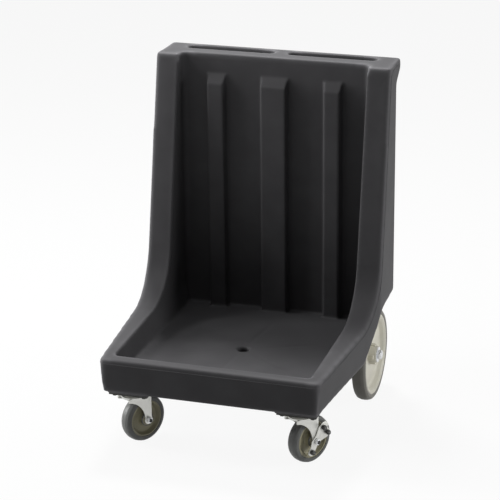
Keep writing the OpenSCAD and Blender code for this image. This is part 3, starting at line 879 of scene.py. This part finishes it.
class DOLLY_OT_metalwork(bpy.types.Operator):
    """Round the edges of the forks, plates, brackets, axle and fixings, give the plates painted shade, and put
    painted shade on the ends of the caster bolts
    """

    bl_idname = "dolly.metalwork"
    bl_label = "Metalwork"

    def execute(self, context):
        edge = context.scene.dolly_metal.edge
        bodies = frame["record"]["behaviour"]["bodies"]
        owner = {n: b for b, names in bodies.items() for n in names}
        slots = {s["node"]: s["material_slot"] for s in frame["record"]["subparts"]}
        for name in frame["nodes"]:
            if slots[name] in ("zinc", "steel") and "bush" not in name and name != "brake_lever":
                # Plates and plate bolts get the painted shade finish
                finish = "dark_plate" if "plate" in name else slots[name]
                made = self.soften(name, owner[name], slots[name], finish, edge)
                if name.endswith("_plate"):
                    self.brighten_race(made)
        for side in ("left", "right"):
            self.painted_socket_shades(side)
        return {"FINISHED"}

    def brighten_race(self, obj):
        """The swivel race under a caster plate is bare zinc; the plate above it keeps its painted shade."""
        under = max(v.co.z for v in obj.data.vertices) - PLATE_THICK
        obj.data.materials.append(FINISH["zinc"])
        for face in obj.data.polygons:
            if face.center.z < under:
                face.material_index = 1

    def painted_socket_shades(self, side):
        """Painted shade: dark discs on the ends of a caster's axle bolt, on its head and its nut, standing for the
        shade in the bolt's hollow ends.
        """
        axle = axis_frame(side + "_caster_roll")
        boxes = [local_box(side + part, axle) for part in ("_axle_bolt", "_axle_nut")]
        ends = []
        for reach, turn in ((max(high.x for low, high in boxes), math.pi / 2),
                            (min(low.x for low, high in boxes), -math.pi / 2)):
            end = plate(oval((0.0, 0.0), SOCKET_SHADE_RADIUS, SOCKET_SHADE_RADIUS, 0.0), 2 * END_PROUD)
            seat = axle @ Matrix.Translation((reach, 0, 0)) @ Matrix.Rotation(turn, 4, "Z")
            place(end, seat @ Matrix.Translation((0, -END_PROUD, 0)))
            bevel(end, END_PROUD / 2)
            ends.append(end)
        piece = join(ends)
        smooth(piece)
        # Painted shade discs, in the same dark finish as the plates
        hand_over(piece, side + "_painted_socket_shades", side + "_swivel", FINISH["dark_plate"])

    def soften(self, name, body, slot, finish, edge):
        """A copy of a pressed or turned piece with its edges broken."""
        obj = copy_of(name, name + "_made", flatten=True)
        bevel(obj, edge, degrees=30.0)
        smooth(obj, degrees=32.0)
        hand_over(obj, name + "_made", body, FINISH[finish], [name])
        return obj


class DOLLY_OT_brake(bpy.types.Operator):
    """Make the stamped brake lever with its oval rubber pads"""

    bl_idname = "dolly.brake"
    bl_label = "Brake"

    def execute(self, context):
        edge = context.scene.dolly_metal.edge
        axle = axis_frame("brake_rock")
        low, high = local_box("brake_lever", axle)
        thick = high.x - low.x
        face = axle @ Matrix.Translation((high.x, 0, 0)) @ Matrix.Rotation(math.pi / 2, 4, "Z")
        lever = self.lever(thick)
        place(lever, face)
        bevel(lever, edge)
        smooth(lever, degrees=32.0)
        hand_over(lever, "stamped_lever", "brake", FINISH["zinc"], ["brake_lever"])
        pad_low, pad_high = local_box("brake_pad_top", axle)
        deep = pad_high.x - pad_low.x - PAD_SHORT
        pedal = [((PAD_REACH, across), PEDAL_TILT) for across in (-PAD_APART, PAD_APART)]
        heel = [((HEEL_REACH, 0.0), HEEL_TILT)]
        pad_face = face @ Matrix.Translation((0, -deep, 0))
        for name, spots, node in (("pedal_pads", pedal, "brake_pad_top"),
                                  ("heel_pad", heel, "brake_pad_low")):
            made = join([plate(oval(mid, PAD_LONG, PAD_WIDE, tilt), deep) for mid, tilt in spots])
            place(made, pad_face)
            bevel(made, PAD_EDGE, segments=4)
            smooth(made, degrees=40.0)
            hand_over(made, name, "brake", FINISH["pad"], [node])
        centres = join([
            plate(oval(mid, PAD_LONG * PAD_CENTRE, PAD_WIDE * PAD_CENTRE, tilt), 2 * END_PROUD)
            for mid, tilt in (*pedal, *heel)])
        place(centres, pad_face @ Matrix.Translation((0, -END_PROUD, 0)))
        bevel(centres, END_PROUD / 2)
        smooth(centres)
        hand_over(centres, "pad_centres", "brake", FINISH["pad_centre"])
        return {"FINISHED"}

    def lever(self, thick):
        """Pedal and heel in one stamping, wider at both ends, with the hole for the axle bolt."""
        heel = swung([
            (20 * MM, -9.5 * MM, 6 * MM), (41 * MM, -9.5 * MM, 9 * MM), (41 * MM, 9.5 * MM, 9 * MM)],
            HEEL_TILT - PEDAL_TILT)
        pedal = [
            (-5.7 * MM, -12 * MM, 8 * MM), (10 * MM, -12 * MM, 10 * MM), (30 * MM, -22 * MM, 5 * MM),
            (47 * MM, -22 * MM, 6 * MM), (48 * MM, 0.0, 3 * MM), (55 * MM, 1 * MM, 5 * MM),
            (55 * MM, 16 * MM, 6 * MM), (47 * MM, 22 * MM, 6 * MM), (30 * MM, 22 * MM, 5 * MM),
            (10 * MM, 12 * MM, 10 * MM), (-10 * MM, 12 * MM, 10 * MM)]
        obj = plate(rounded(swung(pedal + heel, PEDAL_TILT), steps=6), thick)
        settle()
        bpy.ops.mesh.primitive_cylinder_add(
            vertices=HOLE_STEPS, radius=LEVER_HOLE, depth=4 * thick, rotation=(math.pi / 2, 0, 0))
        hole = bpy.context.object
        cut = obj.modifiers.new("hole", "BOOLEAN")
        cut.operation = "DIFFERENCE"
        cut.object = hole
        apply_all(obj)
        settle(hole)
        bpy.ops.object.delete()
        return obj


class DOLLY_OT_stage(bpy.types.Operator):
    """Set up the pale floor, the soft lights and the camera"""

    bl_idname = "dolly.stage"
    bl_label = "Stage"

    def execute(self, context):
        props = context.scene.dolly_stage
        self.camera(context, props)
        self.floor(props)
        self.world(context, props)
        for lamp in LAMPS:
            self.lamp(*lamp)
        context.scene.view_settings.view_transform = "Standard"
        return {"FINISHED"}

    def camera(self, context, props):
        """The photograph's camera."""
        az = props.azimuth
        el = props.elevation
        back = Vector((math.sin(az) * math.cos(el), -math.cos(az) * math.cos(el), math.sin(el)))
        right = (-back).cross(Vector((0, 0, 1))).normalized()
        up = right.cross(-back)
        c, s = math.cos(props.roll), math.sin(props.roll)
        turn = Matrix((right * c + up * s, up * c - right * s, back)).transposed().to_4x4()
        data = bpy.data.cameras.new("camera")
        data.lens = props.focal
        data.sensor_width = SENSOR
        data.clip_end = CLIP_END
        cam = bpy.data.objects.new("camera", data)
        cam.matrix_world = Matrix.Translation(Vector(props.target) + back * props.distance) @ turn
        context.scene.collection.objects.link(cam)
        context.scene.camera = cam

    def floor(self, props):
        """A wide floor that looks white to the camera and keeps the shadow."""
        settle()
        bpy.ops.mesh.primitive_plane_add(size=FLOOR_SIZE, location=(0, 0, 0))
        obj = bpy.context.object
        obj.name = "floor"
        mat = bpy.data.materials.new("studio_floor")
        mat.use_nodes = True
        nodes = mat.node_tree.nodes
        link = mat.node_tree.links.new
        shader = nodes["Principled BSDF"]
        shader.inputs["Base Color"].default_value = (*props.floor, 1.0)
        shader.inputs["Roughness"].default_value = FLOOR_ROUGH
        white = nodes.new("ShaderNodeEmission")
        white.inputs["Strength"].default_value = 1.0
        share = nodes.new("ShaderNodeMath")
        share.operation = "MULTIPLY"
        share.inputs[1].default_value = props.whiteness
        link(self.seen(nodes, link), share.inputs[0])
        mix = nodes.new("ShaderNodeMixShader")
        link(share.outputs[0], mix.inputs["Fac"])
        link(shader.outputs["BSDF"], mix.inputs[1])
        link(white.outputs["Emission"], mix.inputs[2])
        link(mix.outputs["Shader"], nodes["Material Output"].inputs["Surface"])
        obj.data.materials.append(mat)

    def seen(self, nodes, link):
        """One for what the camera sees, straight or in a reflection, and nought for other light."""
        path = nodes.new("ShaderNodeLightPath")
        total = path.outputs["Is Camera Ray"]
        for ray in ("Is Glossy Ray", "Is Transmission Ray"):
            add = nodes.new("ShaderNodeMath")
            add.operation = "MAXIMUM"
            link(total, add.inputs[0])
            link(path.outputs[ray], add.inputs[1])
            total = add.outputs[0]
        return total

    def world(self, context, props):
        """White to the camera and to reflections, softer as a light."""
        world = bpy.data.worlds.new("studio")
        world.use_nodes = True
        nodes = world.node_tree.nodes
        link = world.node_tree.links.new
        back = nodes["Background"]
        back.inputs["Color"].default_value = (1.0, 1.0, 1.0, 1.0)
        pick = nodes.new("ShaderNodeMapRange")
        pick.inputs["To Min"].default_value = props.fill
        pick.inputs["To Max"].default_value = 1.0
        link(self.seen(nodes, link), pick.inputs["Value"])
        link(pick.outputs["Result"], back.inputs["Strength"])
        context.scene.world = world

    def lamp(self, name, spot, aim, size, power):
        """A soft box that points at the dolly."""
        data = bpy.data.lights.new(name, "AREA")
        data.shape = "RECTANGLE"
        data.size = size[0]
        data.size_y = size[1]
        data.energy = power
        obj = bpy.data.objects.new(name, data)
        look = (Vector(aim) - Vector(spot)).to_track_quat("-Z", "Y")
        obj.matrix_world = Matrix.Translation(spot) @ look.to_matrix().to_4x4()
        bpy.context.scene.collection.objects.link(obj)


class DOLLY_PT_sidebar(bpy.types.Panel):
    """The dolly's pieces and their sizes"""

    bl_label = "Glass rack dolly"
    bl_idname = "DOLLY_PT_sidebar"
    bl_space_type = "VIEW_3D"
    bl_region_type = "UI"
    bl_category = "Dolly"

    def draw(self, context):
        for name in GROUPS:
            group = getattr(context.scene, name)
            box = self.layout.box()
            for key in group.__annotations__:
                box.prop(group, key)
        for op in OPERATORS:
            self.layout.operator(op.bl_idname)


GROUPS = {
    "dolly_body": BodyProps,
    "dolly_wheel": WheelProps,
    "dolly_metal": MetalProps,
    "dolly_stage": StageProps,
}
OPERATORS = (
    DOLLY_OT_finishes,
    DOLLY_OT_stage,
    DOLLY_OT_body,
    DOLLY_OT_rear_wheels,
    DOLLY_OT_caster_wheels,
    DOLLY_OT_metalwork,
    DOLLY_OT_brake,
)


def register():
    """Adds the properties, the operators and the panel."""
    for name, group in GROUPS.items():
        bpy.utils.register_class(group)
        setattr(bpy.types.Scene, name, bpy.props.PointerProperty(type=group))
    for cls in (*OPERATORS, DOLLY_PT_sidebar):
        bpy.utils.register_class(cls)


def unregister():
    """Takes away what register added."""
    for cls in reversed((*OPERATORS, DOLLY_PT_sidebar)):
        bpy.utils.unregister_class(cls)
    for name, group in GROUPS.items():
        delattr(bpy.types.Scene, name)
        bpy.utils.unregister_class(group)


def main():
    """Builds the dolly on its stage."""
    register()
    bpy.ops.dolly.finishes()
    bpy.ops.dolly.stage()
    bpy.ops.dolly.body()
    bpy.ops.dolly.rear_wheels()
    bpy.ops.dolly.caster_wheels()
    bpy.ops.dolly.metalwork()
    bpy.ops.dolly.brake()


if __name__ == "__main__":
    main()
